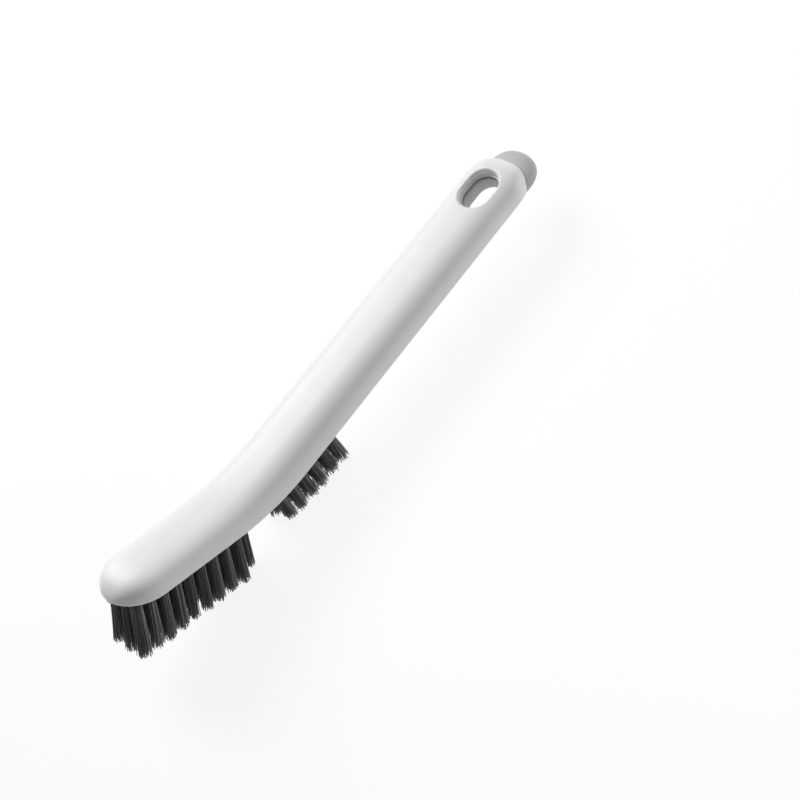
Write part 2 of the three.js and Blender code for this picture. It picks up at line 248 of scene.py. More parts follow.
class ShellSettings(bpy.types.PropertyGroup):
    """Sizes and finish of the shell"""
    rim_radius: FloatProperty(
        name="Rim radius", description="Rounding of the rim's outer edge", default=0.0013, unit="LENGTH")
    slot_radius: FloatProperty(
        name="Slot radius", description="Rounding of the slot's upper edge", default=0.0009, unit="LENGTH")
    slot_lip: FloatProperty(
        name="Slot lip", description="How far the lip at the foot of the slot's wall stands in",
        default=0.0006, unit="LENGTH")
    colour: FloatVectorProperty(
        name="Colour", description="White of the moulding", default=(0.8, 0.8, 0.797), subtype="COLOR")
    roughness: FloatProperty(
        name="Roughness", description="Satin of the moulding", default=0.42, subtype="FACTOR")


class CoreSettings(bpy.types.PropertyGroup):
    """Sizes and finish of the core"""
    edge_radius: FloatProperty(
        name="Edge radius", description="Rounding of the lower edges", default=0.0006, unit="LENGTH")
    slot_radius: FloatProperty(
        name="Slot radius", description="Rounding of the slot's upper edge", default=0.0003, unit="LENGTH")
    colour: FloatVectorProperty(
        name="Colour", description="Grey of the moulding", default=(0.47, 0.47, 0.475), subtype="COLOR")
    roughness: FloatProperty(
        name="Roughness", description="Matte of the moulding", default=0.55, subtype="FACTOR")


class BristleSettings(bpy.types.PropertyGroup):
    """Sizes and finish of the bristle tufts"""
    filaments: IntProperty(
        name="Filaments", description="Filaments in each tuft", default=74)
    radius: FloatProperty(
        name="Filament radius", description="Half the thickness of a filament", default=0.00019,
        unit="LENGTH")
    root_radius: FloatProperty(
        name="Root radius", description="Radius of a tuft at its root", default=0.0018, unit="LENGTH")
    tip_radius: FloatProperty(
        name="Tip radius", description="Radius of a tuft at its tips", default=0.0024, unit="LENGTH")
    ragged: FloatProperty(
        name="Ragged tips", description="How unevenly long the filaments are", default=0.0018,
        unit="LENGTH")
    colour: FloatVectorProperty(
        name="Colour", description="Dark grey of the nylon", default=(0.062, 0.062, 0.064), subtype="COLOR")
    seed: IntProperty(
        name="Seed", description="Start of the random draws", default=7)


class StageSettings(bpy.types.PropertyGroup):
    """Light of the stage"""
    key_power: FloatProperty(
        name="Key light", description="Power of the large light behind the brush", default=8.8,
        unit="POWER")
    side_power: FloatProperty(
        name="Side light", description="Power of the weak light beside the tail", default=2.4,
        unit="POWER")
    ambient: FloatProperty(
        name="Ambient", description="Strength of the light from all round", default=0.265)


def rounded(distance, length, power):
    """Share of full size near a rounded end: (1 - (1 - d / L) ** p) ** (1 / p), with d / L in 0 to 1."""
    left = 1 - np.clip(distance / length, 0, 1)
    return (1 - left ** power) ** (1 / power)


def smooth_share(value, low, high):
    """Share of the way from low to high, 3 t^2 - 2 t^3."""
    share = np.clip((value - low) / (high - low), 0, 1)
    return share * share * (3 - 2 * share)


def rim_frame(place):
    """Rim line in the middle plane, an arc between two straight lines: its x, its z and its turn."""
    turn = np.clip((HALF_BEND - place) / BEND_RADIUS, 0, BEND_ANGLE)
    straight = np.where(place > 0, np.maximum(place - HALF_BEND, 0), np.minimum(place + HALF_BEND, 0))
    x = BEND_TANGENT - BEND_RADIUS * np.sin(turn) + straight * np.cos(turn)
    z = BEND_RADIUS * (1 - np.cos(turn)) - straight * np.sin(turn)
    return x, z, turn


def on_brush(place, across, height):
    """Points in metres: the rim line's point at a place, moved across, and up along the line's normal."""
    place, across, height = np.broadcast_arrays(place, across, height)
    x, z, turn = rim_frame(place)
    along = x + height * np.sin(turn) + SHIFT_X
    return np.stack([along, across, z + height * np.cos(turn) + SHIFT_Z], -1) * MM


def dome_top(place):
    """Height of the dome's ridge: falling evenly along the handle, blended to the head's in the bend."""
    handle = DOME_HEIGHT + (TAIL_DOME_HEIGHT - DOME_HEIGHT) * np.clip(place / HANDLE_LENGTH, 0, 1)
    return HEAD_DOME_HEIGHT + (handle - HEAD_DOME_HEIGHT) * smooth_share(place, *DOME_BLEND)


def shell_half(place):
    """Half width of the shell's plan, with an elliptic nose and a superelliptic tail."""
    nose = rounded(place + HEAD_LENGTH, NOSE_ROUND, NOSE_ROUND_POWER)
    return HALF_WIDTH * nose * rounded(HANDLE_LENGTH - place, TAIL_ROUND, TAIL_ROUND_POWER)


def shell_top(place):
    """Height of the shell's ridge, rounded off at the nose and the tail."""
    nose = rounded(place + HEAD_LENGTH, NOSE_RISE, RISE_POWER)
    return dome_top(place) * nose * rounded(HANDLE_LENGTH - place, TAIL_RISE, RISE_POWER)


def tongue_share(place):
    """Share of the way from the core's full section to its tongue."""
    return smooth_share(place, HANDLE_LENGTH - TONGUE_TAPER, HANDLE_LENGTH)


def core_half(place, grow):
    """Half width of the core's plan, grown on all sides."""
    nose = rounded(place - CORE_FRONT + grow, CORE_NOSE_ROUND + grow, NOSE_ROUND_POWER)
    tongue = rounded(CORE_BACK + grow - place, TONGUE_ROUND, TONGUE_ROUND_POWER)
    return (CORE_HALF_WIDTH + grow) * nose * tongue


def core_top(place, grow):
    """Height of the core's ridge: under the roof, down to the tongue, and rounded off at both ends."""
    roofed = dome_top(place) - ROOF - FIT_CLEARANCE
    top = roofed + (TONGUE_TOP - roofed) * tongue_share(place) + grow - CORE_FLOOR
    nose = rounded(place - CORE_FRONT + grow, CORE_NOSE_RISE, RISE_POWER)
    return CORE_FLOOR + top * nose * rounded(CORE_BACK + grow - place, TONGUE_RISE, RISE_POWER)


def core_power(place):
    """Power of the core's superelliptic section, softer at the tongue."""
    return CORE_POWER + (TONGUE_POWER - CORE_POWER) * tongue_share(place)


def dome_height(place, across):
    """Height of the shell's outside: top * (1 - (|y| / half) ** p) ** (1 / p)."""
    share = np.clip(np.abs(across) / np.maximum(shell_half(place), TINY), 0, 1)
    return shell_top(place) * (1 - share ** DOME_POWER) ** (1 / DOME_POWER)


def core_height(place, across, grow):
    """Height of the core's top side, grown by a clearance: the same superellipse over its underside."""
    power = core_power(place)
    share = np.clip(np.abs(across) / np.maximum(core_half(place, grow), TINY), 0, 1)
    return CORE_FLOOR + (core_top(place, grow) - CORE_FLOOR) * (1 - share ** power) ** (1 / power)


def plan_normal(half, place):
    """Outward normal of a plan outline y = half(place) on its positive side, as (along, across)."""
    step = 1e-4
    slope = (half(place + step) - half(place - step)) / (2 * step)
    length = np.sqrt(1 + slope ** 2)
    return -slope / length, 1 / length


def slot_wall(directions, radius):
    """Point of the slot's wall in each direction from its middle, and the normal away from the slot.

    The wall is two straight lines at the radius from the middle line and two half circles.
    """
    along, across = directions
    flat = radius / np.maximum(np.abs(across), TINY)
    square = along ** 2 + across ** 2
    root = np.sqrt(np.maximum(square * radius ** 2 - (across * SLOT_STRAIGHT) ** 2, 0))
    round_end = (np.abs(along) * SLOT_STRAIGHT + root) / square
    straight = np.abs(along) * flat <= SLOT_STRAIGHT
    reach = np.where(straight, flat, round_end)
    wall = np.stack([along * reach, across * reach])
    middle = np.clip(wall[0], -SLOT_STRAIGHT, SLOT_STRAIGHT)
    normal = np.stack([wall[0] - middle, wall[1]])
    return wall + SLOT_MIDDLE, normal / np.linalg.norm(normal, axis=0)


def off_wall(wall, normal, distance):
    """Points at a distance from the slot's wall, away from the slot, as (along, across)."""
    return wall[0] + distance * normal[0], wall[1] + distance * normal[1]


def cosine_steps(start, end, count):
    """Places from start to end that lie close together at start: start + (end - start) (1 - cos t)."""
    return start + (end - start) * (1 - np.cos(np.linspace(0, np.pi / 2, count)))


def section_places(front, nose_end, back, counts, extra=()):
    """Places of a loft's sections, close at both ends and even between, and where the slot's patch starts."""
    first, last = SLOT_PLACE - PATCH_REACH, SLOT_PLACE + PATCH_REACH
    nose = np.sort(np.concatenate([cosine_steps(front, nose_end, counts[0]), extra]))
    middle = np.linspace(nose[-1], first, counts[1])[1:]
    patch = np.linspace(first, last, PATCH_STATIONS + 1)[1:]
    tail = cosine_steps(back, last, counts[2])[::-1][1:]
    return np.concatenate([nose, middle, patch, tail]), len(nose) + len(middle) - 1


def mirrored(half, side=1):
    """Loop of a half section, times side, and its mirror half, without repeating the two middle points."""
    return np.concatenate([half * side, half[:, -2:0:-1]], 1)


def plan_rings(boundary, target, rings):
    """Rings in plan on straight lines from a boundary to its target points, both as (along, across)."""
    share = np.linspace(0, 1, rings)[:, None]
    return boundary[0] + (target[0] - boundary[0]) * share, boundary[1] + (target[1] - boundary[1]) * share


def ring_faces(rings, count, start=0):
    """Quads between rings of count points each, closed round."""
    ring = np.arange(rings - 1)[:, None] * count
    point = np.arange(count)[None, :]
    after = (point + 1) % count
    corners = [ring + point, ring + after, ring + count + after, ring + count + point]
    return np.stack(corners, -1).reshape(-1, 4) + start


def zip_faces(half, start, flip):
    """Faces that close a loop across its middle: quads between mirror points, and triangles at the ends."""
    near = np.arange(1, half - 1)
    far = 2 * half - near
    quads = np.stack([near, near + 1, far - 1, far], -1) + start
    ends = np.array([[0, 1, 2 * half - 1], [half, half + 1, half - 1]]) + start
    step = -1 if flip else 1
    return quads[:, ::step].tolist() + ends[:, ::step].tolist()


def patch_loop(first, last, low, high, count):
    """Indices of the grid points round a patch of stations first to last and loop points low to high."""
    step = 1 if high > low else -1
    stations = np.arange(first, last)
    return np.concatenate([
        first * count + np.arange(low, high, step) % count,
        stations * count + high % count,
        last * count + np.arange(high, low, -step) % count,
        (stations[::-1] + 1) * count + low % count])


def loft_with_slot(stations, count, start, points):
    """Quads of a loft without the slot's patches, and the loops round the upper and the lower patch.

    A patch is PATCH_STATIONS long and reaches the given number of points to both sides of the middle.
    """
    stop = start + PATCH_STATIONS
    ridge = count // 2
    keep = np.ones((stations - 1, count), bool)
    for low, high in ((ridge - points, ridge + points), (0, points), (count - points, count)):
        keep[start:stop, low:high] = False
    faces = ring_faces(stations, count)[keep.ravel()].tolist()
    upper = patch_loop(start, stop, ridge - points, ridge + points, count)
    lower = patch_loop(start, stop, points, -points, count)
    return faces, upper, lower


def link_object(name, data):
    """New object at the origin, linked to the scene."""
    item = bpy.data.objects.new(name, data)
    bpy.context.scene.collection.objects.link(item)
    return item


def closed_piece(name, loops, collar, faces, material):
    """Smooth closed piece of a loft's loops and its slot's collar, doubles merged and normals outward."""
    points = np.concatenate([loops.reshape(-1, 3), collar.reshape(-1, 3)])
    faces = faces + ring_faces(collar.shape[0], collar.shape[1], loops.shape[0] * loops.shape[1]).tolist()
    mesh = bpy.data.meshes.new(name)
    mesh.from_pydata(points.tolist(), [], faces)
    work = bmesh.new()
    work.from_mesh(mesh)
    bmesh.ops.remove_doubles(work, verts=work.verts, dist=MERGE_DISTANCE)
    bmesh.ops.dissolve_degenerate(work, edges=work.edges, dist=SHORTEST_EDGE)
    bmesh.ops.recalc_face_normals(work, faces=work.faces)
    if work.calc_volume(signed=True) < 0:
        bmesh.ops.reverse_faces(work, faces=work.faces)
    work.to_mesh(mesh)
    work.free()
    mesh.shade_smooth()
    mesh.materials.append(material)
    return link_object(name, mesh)


def lower_edge(place):
    """Height of the shell's lower edge: the rim, or the line where the outside meets the tongue's room.

    Found by halving: the outside's half width at a height, put into the room's height, is the height itself.
    """
    top = shell_top(place)
    half = shell_half(place)
    low = np.zeros_like(place)
    high = top.copy()
    for _ in range(HALVINGS):
        middle = (low + high) / 2
        across = half * (1 - np.clip(middle / top, 0, 1) ** DOME_POWER) ** (1 / DOME_POWER)
        inside = core_height(place, across, FIT_CLEARANCE) > middle
        inside &= across < core_half(place, FIT_CLEARANCE)
        low = np.where(inside, middle, low)
        high = np.where(inside, high, middle)
    return low


def shell_end():
    """Place on the ridge where the outside has come down to the room for the tongue, found by halving."""
    low, high = HANDLE_LENGTH - TAIL_RISE, HANDLE_LENGTH
    for _ in range(HALVINGS):
        middle = (low + high) / 2
        above = shell_top(np.array([middle])) > core_top(np.array([middle]), FIT_CLEARANCE)
        low, high = (middle, high) if above[0] else (low, middle)
    return low


def shell_sections(place, rim_radius):
    """Closed section loops of the shell: inside, rim, rounded edge, outside, and the mirror side.

    Outside: y = half cos(a) ** (2 / p), n = top sin(a) ** (2 / p), from the edge's height up to the ridge.
    Inside: the core's section grown by the clearance, in the same form. The edge is a quarter circle that
    is let into the outside.
    """
    place = place[:, None]
    half, top = shell_half(place), shell_top(place)
    room = core_half(place, FIT_CLEARANCE)
    edge = lower_edge(place)
    radius = np.clip(half - room, THINNEST_RIM, rim_radius)
    radius = np.minimum(radius, EDGE_SHARE * np.maximum(top - edge, LEAST_RISE))
    angle = np.linspace(0, np.pi / 2, RIM_STEPS + 1)[None, :]
    normal_along, normal_across = plan_normal(shell_half, place)
    inset = radius * (1 - np.sin(angle))
    rim_up = edge + radius * (1 - np.cos(angle))
    share = np.clip(rim_up / top, 0, 1) ** DOME_POWER
    rim_across = half * (1 - share) ** (1 / DOME_POWER) - inset * normal_across
    rim_place = place - inset * normal_along
    start = np.arcsin(np.clip(rim_up[:, -1:] / top, 0, 1) ** (DOME_POWER / 2))
    dome = start + (np.pi / 2 - start) * np.linspace(0, 1, DOME_STEPS + 1)[None, 1:]
    dome_across = half * np.cos(dome).clip(0) ** (2 / DOME_POWER)
    dome_up = top * np.sin(dome) ** (2 / DOME_POWER)
    power = core_power(place)
    ceiling = np.maximum(core_top(place, FIT_CLEARANCE), edge)
    low = np.clip((edge - CORE_FLOOR) / (ceiling - CORE_FLOOR), 0, 1)
    lowest = np.arcsin(low ** (power / 2))
    inner = np.pi / 2 + (lowest - np.pi / 2) * np.linspace(0, 1, INNER_STEPS + 1)[None, :]
    widest = np.maximum(rim_across[:, :1], 0)
    inner_across = np.minimum(room * np.cos(inner).clip(0) ** (2 / power), widest)
    inner_place = np.maximum(place, CORE_FRONT - FIT_CLEARANCE) + 0 * inner
    inner_up = CORE_FLOOR + (ceiling - CORE_FLOOR) * np.sin(inner) ** (2 / power)
    inner_up = np.where(room > 0, inner_up, edge)
    places = np.concatenate([inner_place, inner_place[:, :1], rim_place, place + 0 * dome], 1)
    across = np.concatenate([inner_across, inner_across[:, -1:], rim_across, dome_across], 1)
    height = np.concatenate([inner_up, edge, rim_up, dome_up], 1)
    return mirrored(places), mirrored(across, -1), mirrored(height)


def build_shell(settings, material):
    """Shell: loft of its sections from nose to tail, with a slot let into the outside and the roof.

    The slot's collar runs in rings from the outside over a quarter-round edge, down the wall, round a
    half-round lip at its foot, and out to the roof inside.
    """
    slot_radius, slot_lip = settings.slot_radius / MM, settings.slot_lip / MM
    front = CORE_FRONT - FIT_CLEARANCE
    stations, start = section_places(
        -HEAD_LENGTH + NOSE_CUT, -HEAD_LENGTH + NOSE_RISE, shell_end() - TAIL_CUT, SHELL_STATIONS,
        (front - FRONT_STEP, front + FRONT_STEP))
    places, across, height = shell_sections(stations, settings.rim_radius / MM)
    rows, count = places.shape
    faces, outer, inner = loft_with_slot(rows, count, start, SHELL_PATCH_POINTS)
    faces += zip_faces(count // 2, 0, False)
    faces.append(np.arange(rows * count - 1, (rows - 1) * count - 1, -1).tolist())
    plan = np.stack([places.ravel(), across.ravel()])
    wall, normal = slot_wall(plan[:, outer] - SLOT_MIDDLE, SLOT_RADIUS)
    top_rings = plan_rings(plan[:, outer], wall + slot_radius * normal, COLLAR_RINGS)
    angle = np.linspace(0, np.pi / 2, SHELL_ROUND_RINGS)[1:, None]
    edge = off_wall(wall, normal, slot_radius * (1 - np.sin(angle)))
    edge_height = dome_height(*edge) - slot_radius * (1 - np.cos(angle))
    lip_round = LIP_ROUND * slot_lip
    roof_rings = plan_rings(wall - (slot_lip - lip_round) * normal, plan[:, inner], COLLAR_RINGS)
    roof_height = core_height(*roof_rings, FIT_CLEARANCE)
    share = np.linspace(0, 1, WALL_RINGS)[1:, None]
    wall_height = edge_height[-1] + (roof_height[0] + 2 * lip_round - edge_height[-1]) * share
    turn = np.linspace(np.pi / 2, -np.pi / 2, LIP_RINGS)[:, None]
    lip = off_wall(wall, normal, -(slot_lip - lip_round * (1 - np.cos(turn))))
    lip_height = roof_height[0] + lip_round * (1 + np.sin(turn))
    collar = np.concatenate([
        on_brush(*top_rings, dome_height(*top_rings)),
        on_brush(*edge, edge_height),
        on_brush(*wall, wall_height),
        on_brush(*lip, lip_height),
        on_brush(*roof_rings, roof_height)[1:]])
    return closed_piece("shell", on_brush(places, across, height), collar, faces, material)


def core_sections(place, edge_radius):
    """Closed section loops of the core: underside, rounded edge, domed top, and the mirror side.

    Top: y = half cos(a) ** (2 / p), n = floor + rise sin(a) ** (2 / p). The underside is flat, and the edge
    is a quarter circle that is let into the top side.
    """
    place = place[:, None]
    half, rise = core_half(place, 0), core_top(place, 0) - CORE_FLOOR
    power = core_power(place)
    radius = np.minimum(edge_radius, EDGE_SHARE * np.maximum(rise, LEAST_RISE))
    angle = np.linspace(0, np.pi / 2, CORE_EDGE_STEPS + 1)[None, :]
    normal_along, normal_across = plan_normal(lambda at: core_half(at, 0), place)
    inset = radius * (1 - np.sin(angle))
    edge_rise = radius * (1 - np.cos(angle))
    share = np.clip(edge_rise / np.maximum(rise, TINY), 0, 1)
    edge_across = half * (1 - share ** power) ** (1 / power) - inset * normal_across
    edge_place = place - inset * normal_along
    start = np.arcsin(share[:, -1:] ** (power / 2))
    dome = start + (np.pi / 2 - start) * np.linspace(0, 1, CORE_STEPS + 1)[None, 1:]
    dome_across = half * np.cos(dome).clip(0) ** (2 / power)
    dome_up = CORE_FLOOR + rise * np.sin(dome) ** (2 / power)
    under = np.linspace(0, 1, UNDER_STEPS + 1)[None, :-1]
    under_place = place + (edge_place[:, :1] - place) * under
    under_across = np.maximum(edge_across[:, :1], 0) * under
    places = np.concatenate([under_place, edge_place, place + 0 * dome], 1)
    across = np.concatenate([under_across, edge_across, dome_across], 1)
    height = np.concatenate([CORE_FLOOR + 0 * under_across, CORE_FLOOR + edge_rise, dome_up], 1)
    return mirrored(places), mirrored(across, -1), mirrored(height)


def build_core(settings, material):
    """Core: loft of its sections from nose to tongue, with the slot let through it.

    The slot's collar runs in rings from the top side, which sinks to the slot by a square law, over a small
    quarter-round edge, down the wall, round the lower edge and out over the underside.
    """
    edge_radius, slot_radius = settings.edge_radius / MM, settings.slot_radius / MM
    stations, start = section_places(
        CORE_FRONT + CORE_NOSE_CUT, CORE_FRONT + CORE_NOSE_ROUND, CORE_BACK - TONGUE_CUT, CORE_STATIONS)
    places, across, height = core_sections(stations, edge_radius)
    rows, count = places.shape
    faces, upper, lower = loft_with_slot(rows, count, start, CORE_PATCH_POINTS)
    faces += zip_faces(count // 2, 0, False) + zip_faces(count // 2, (rows - 1) * count, True)
    plan = np.stack([places.ravel(), across.ravel()])
    wall, normal = slot_wall(plan[:, upper] - SLOT_MIDDLE, SLOT_RADIUS - SLOT_STEP)
    top_rings = plan_rings(plan[:, upper], wall + slot_radius * normal, COLLAR_RINGS)
    sunk = SLOT_GROOVE * np.linspace(0, 1, COLLAR_RINGS)[:, None] ** 2
    top_height = core_height(*top_rings, 0) - sunk
    over = np.linspace(0, np.pi / 2, CORE_ROUND_RINGS)[1:, None]
    top_edge = off_wall(wall, normal, slot_radius * (1 - np.sin(over)))
    top_edge_height = top_height[-1] - slot_radius * (1 - np.cos(over))
    under = np.linspace(np.pi / 2, 0, CORE_ROUND_RINGS)[:, None]
    low_edge = off_wall(wall, normal, edge_radius * (1 - np.sin(under)))
    low_edge_height = CORE_FLOOR + edge_radius * (1 - np.cos(under))
    share = np.linspace(0, 1, WALL_RINGS)[1:-1, None]
    wall_height = top_edge_height[-1] + (low_edge_height[0] - top_edge_height[-1]) * share
    low_rings = plan_rings([line[-1] for line in low_edge], plan[:, lower], COLLAR_RINGS)
    collar = np.concatenate([
        on_brush(*top_rings, top_height),
        on_brush(*top_edge, top_edge_height),
        on_brush(*wall, wall_height),
        on_brush(*low_edge, low_edge_height),
        on_brush(*low_rings, CORE_FLOOR)[1:]])
    return closed_piece("core", on_brush(places, across, height), collar, faces, material)


def tuft_columns(columns):
    """Places and offsets of tufts in columns of three."""
    return np.stack(np.meshgrid(columns, ROWS, indexing="ij"), -1).reshape(-1, 2)


def head_tufts():
    """Places and offsets of the head's tufts: a pair at the rear, then columns of three."""
    pair = np.array([[-HEAD_REAR_PAIR, -ROW_SPACING / 2], [-HEAD_REAR_PAIR, ROW_SPACING / 2]])
    columns = -HEAD_FIRST_COLUMN - TUFT_PITCH * np.arange(HEAD_COLUMNS)
    return np.concatenate([pair, tuft_columns(columns)])


def handle_tufts():
    """Places and offsets of the handle's tufts: columns of three."""
    return tuft_columns(FIELD_FIRST_COLUMN + TUFT_PITCH * np.arange(FIELD_COLUMNS))


def build_tufts(name, tufts, lean, length, settings, material, seed):
    """Filaments of a field of tufts, each a four-sided rod carried along a gently bowed line.

    A filament runs from a disc at the tuft's root to a wider disc at its tips, and s from 0 to 1 along it:
    offset = foot + (tip - foot) s ** FLARE_POWER + bow s (1 - s). In the disc the filaments lie on a spiral,
    r = sqrt(k / count), a golden angle apart, and r swells a little CLUMPS times round the tuft.
    The head's tips lean forwards, more towards its front, where the rows fan out too. The handle's tufts next
    to the bend are shorter, and lean forwards apart from the near row. No filament reaches below the floor.
    """
    draw = np.random.default_rng(seed)
    each = settings.filaments
    shape, one_each = (len(tufts), each), (len(tufts), 1)
    place, row = tufts.T
    front = np.clip((-place - HEAD_FIRST_COLUMN) / (HEAD_LENGTH - HEAD_FIRST_COLUMN), 0, 1)
    fan = np.clip((-place - FAN_START) / (HEAD_LENGTH - FAN_START), 0, 1) ** 2
    near_bend = np.clip(1 - (place - FIELD_FIRST_COLUMN) / BEND_REACH, 0, 1) ** 2 * (place > 0)
    far_rows = row > -ROW_SPACING / 2
    x, z, turn = rim_frame(place - FRONT_SHIFT * fan)
    root = np.stack([x + CORE_FLOOR * np.sin(turn), row, z + CORE_FLOOR * np.cos(turn)], -1)
    axis_x = np.array([math.cos(lean), 0, -math.sin(lean)])
    axis_y = np.array([0, 1.0, 0])
    axis_z = np.array([math.sin(lean), 0, math.cos(lean)])

    # Discs at the roots and the tips
    order = np.sqrt((np.arange(each) + 0.5) / each)
    spin = np.arange(each) * math.pi * GOLDEN_TURN + draw.uniform(0, 2 * math.pi, one_each)
    clump = np.sin(CLUMPS * spin + draw.uniform(0, 2 * math.pi, one_each))
    spread = order * (1 + CLUMP_DEPTH * clump) + draw.normal(0, FOOT_SCATTER, shape)
    foot = settings.root_radius / MM * spread
    tip = settings.tip_radius / MM * spread * draw.uniform(*TUFT_FLARE, one_each)
    tip = tip * (1 + draw.normal(0, TIP_SCATTER, shape))
    tuft_stray = draw.normal(0, TUFT_STRAY, one_each + (2,))
    stray = draw.normal(0, FILAMENT_STRAY, shape + (2,)) + tuft_stray
    stray[..., 0] -= (FRONT_LEAN * front + BEND_LEAN * near_bend * far_rows)[:, None]
    stray[..., 1] += (ROW_FAN * row / ROW_SPACING * fan)[:, None]
    bow = draw.normal(0, FILAMENT_BOW, shape + (2,))

    # Lengths, down to the field's own level or the floor
    level = length + root @ axis_z
    clear = (root[:, 2] + SHIFT_Z) / math.cos(lean)
    full = (np.minimum(level, clear) - BEND_SHORTER * near_bend)[:, None]
    shorter = settings.ragged / MM * draw.beta(*RAGGED_POWERS, shape)
    shorter = shorter + draw.uniform(0, TUFT_SHORTER, one_each)

    # Rods along the lines
    s = np.linspace(0, 1, FILAMENT_PARTS + 1)
    down = ROOT_DEPTH - (full - shorter + ROOT_DEPTH)[..., None] * s
    circle = np.stack([np.cos(spin), np.sin(spin)], -1)
    start = foot[..., None] * circle
    end = tip[..., None] * circle + stray
    offset = start[:, :, None] + (end - start)[:, :, None] * (s ** FLARE_POWER)[:, None]
    offset = offset + bow[:, :, None] * (s * (1 - s))[:, None]
    corner = np.arange(SIDES) * 2 * math.pi / SIDES
    twist = draw.uniform(0, math.pi / 2, shape)[..., None, None] + corner
    thickness = draw.uniform(*THICKNESS_SPAN, shape)[..., None, None]
    radius = settings.radius / MM * (1 - TIP_TAPER * s)[:, None] * thickness
    local_x = offset[..., :1] + radius * np.cos(twist)
    local_y = offset[..., 1:] + radius * np.sin(twist)
    local_z = down[..., None] + 0 * local_x
    points = (root[:, None, None, None, :] + local_x[..., None] * axis_x + local_y[..., None] * axis_y
              + local_z[..., None] * axis_z)
    points = (points + [SHIFT_X, 0, SHIFT_Z]) * MM
    points[..., 2] = np.maximum(points[..., 2], 0)
    filaments = points.reshape(-1, (FILAMENT_PARTS + 1) * SIDES, 3)
    ends = np.stack([np.arange(SIDES)[::-1], np.arange(SIDES) + FILAMENT_PARTS * SIDES])
    rod = np.concatenate([ring_faces(FILAMENT_PARTS + 1, SIDES), ends])
    first_points = np.arange(len(filaments)) * filaments.shape[1]
    faces = (rod[None] + first_points[:, None, None]).reshape(-1, SIDES)
    mesh = bpy.data.meshes.new(name)
    mesh.from_pydata(filaments.reshape(-1, 3).tolist(), [], faces[:, ::-1].tolist())

    # Tone of each filament: a random spread, plus painted light that makes filaments paler on their tuft's
    # side towards the tail
    tone = TONE_MIDDLE + PAINTED_SIDE_LIGHT * order * np.cos(spin) + draw.normal(0, TONE_SPREAD, shape)
    tone = np.repeat(np.clip(tone, 0, 1).ravel(), filaments.shape[1])
    mesh.attributes.new("tone", "FLOAT", "POINT").data.foreach_set("value", tone.astype(np.float32))
    mesh.shade_smooth()
    mesh.materials.append(material)
    return link_object(name, mesh)


def new_material(name):
    """New material, its node tree and its shader."""
    material = bpy.data.materials.new(name)
    material.use_nodes = True
    tree = material.node_tree
    return material, tree, tree.nodes["Principled BSDF"]


def noise(tree, scale, detail):
    """Noise on Object coordinates, which are metres."""
    where = tree.nodes.new("ShaderNodeTexCoord")
    texture = tree.nodes.new("ShaderNodeTexNoise")
    texture.inputs["Scale"].default_value = scale
    texture.inputs["Detail"].default_value = detail
    tree.links.new(where.outputs["Object"], texture.inputs["Vector"])
    return texture.outputs["Fac"]


def along_x(tree, coordinates):
    """The x of texture coordinates."""
    where = tree.nodes.new("ShaderNodeTexCoord")
    apart = tree.nodes.new("ShaderNodeSeparateXYZ")
    tree.links.new(where.outputs[coordinates], apart.inputs["Vector"])
    return apart.outputs["X"]


def map_range(tree, value, source, target):
    """Value carried from a source range to a target range, and held at its ends."""
    node = tree.nodes.new("ShaderNodeMapRange")
    for label, number in zip(("From Min", "From Max", "To Min", "To Max"), (*source, *target)):
        node.inputs[label].default_value = number
    tree.links.new(value, node.inputs["Value"])
    return node.outputs["Result"]


def mix_colours(tree, share, low, high):
    """Colour between two colours by a share."""
    node = tree.nodes.new("ShaderNodeMix")
    node.data_type = "RGBA"
    node.inputs["A"].default_value = (*low, 1)
    node.inputs["B"].default_value = (*high, 1)
    tree.links.new(share, node.inputs["Factor"])
    return node.outputs["Result"]


def mix_shaders(tree, share, first, second):
    """Shader between two shaders by a share."""
    node = tree.nodes.new("ShaderNodeMixShader")
    for value, socket in zip((share, first, second), node.inputs):
        tree.links.new(value, socket)
    return node.outputs["Shader"]


def bump(tree, shader, value, strength, distance):
    """Bump of the surface from a value."""
    node = tree.nodes.new("ShaderNodeBump")
    node.inputs["Strength"].default_value = strength
    node.inputs["Distance"].default_value = distance
    tree.links.new(value, node.inputs["Height"])
    tree.links.new(node.outputs["Normal"], shader.inputs["Normal"])


def moulded_plastic(name, colour, roughness, mottle, grain_scale, grain_strength):
    """Moulded plastic: a slightly cloudy colour, uneven satin and a fine grain."""
    material, tree, shader = new_material(name)
    cloud = map_range(tree, noise(tree, *CLOUD_NOISE), NOISE_SPAN, (0, 1))
    low = [c * (1 - mottle) for c in colour]
    tree.links.new(mix_colours(tree, cloud, low, colour), shader.inputs["Base Color"])
    span = (roughness - SATIN_SPREAD, roughness + SATIN_SPREAD)
    satin = map_range(tree, noise(tree, *SATIN_NOISE), NOISE_SPAN, span)
    tree.links.new(satin, shader.inputs["Roughness"])
    shader.inputs["IOR"].default_value = PLASTIC_IOR
    bump(tree, shader, noise(tree, grain_scale, GRAIN_DETAIL), grain_strength, GRAIN_DEPTH)
    return material


def nylon_filament(colour):
    """Dark nylon with a soft uneven gloss: each filament's tone, from its attribute, is partly random and
    partly painted light, paler on its tuft's side towards the tail.
    """
    material, tree, shader = new_material("dark_nylon_filament")
    tone = tree.nodes.new("ShaderNodeAttribute")
    tone.attribute_name = "tone"
    dark, pale = [c * TONE_DARK for c in colour], [c * TONE_PALE for c in colour]
    tree.links.new(mix_colours(tree, tone.outputs["Fac"], dark, pale), shader.inputs["Base Color"])
    satin = map_range(tree, noise(tree, *NYLON_NOISE), NOISE_SPAN, NYLON_ROUGHNESS)
    tree.links.new(satin, shader.inputs["Roughness"])
    shader.inputs["IOR"].default_value = NYLON_IOR
    return material


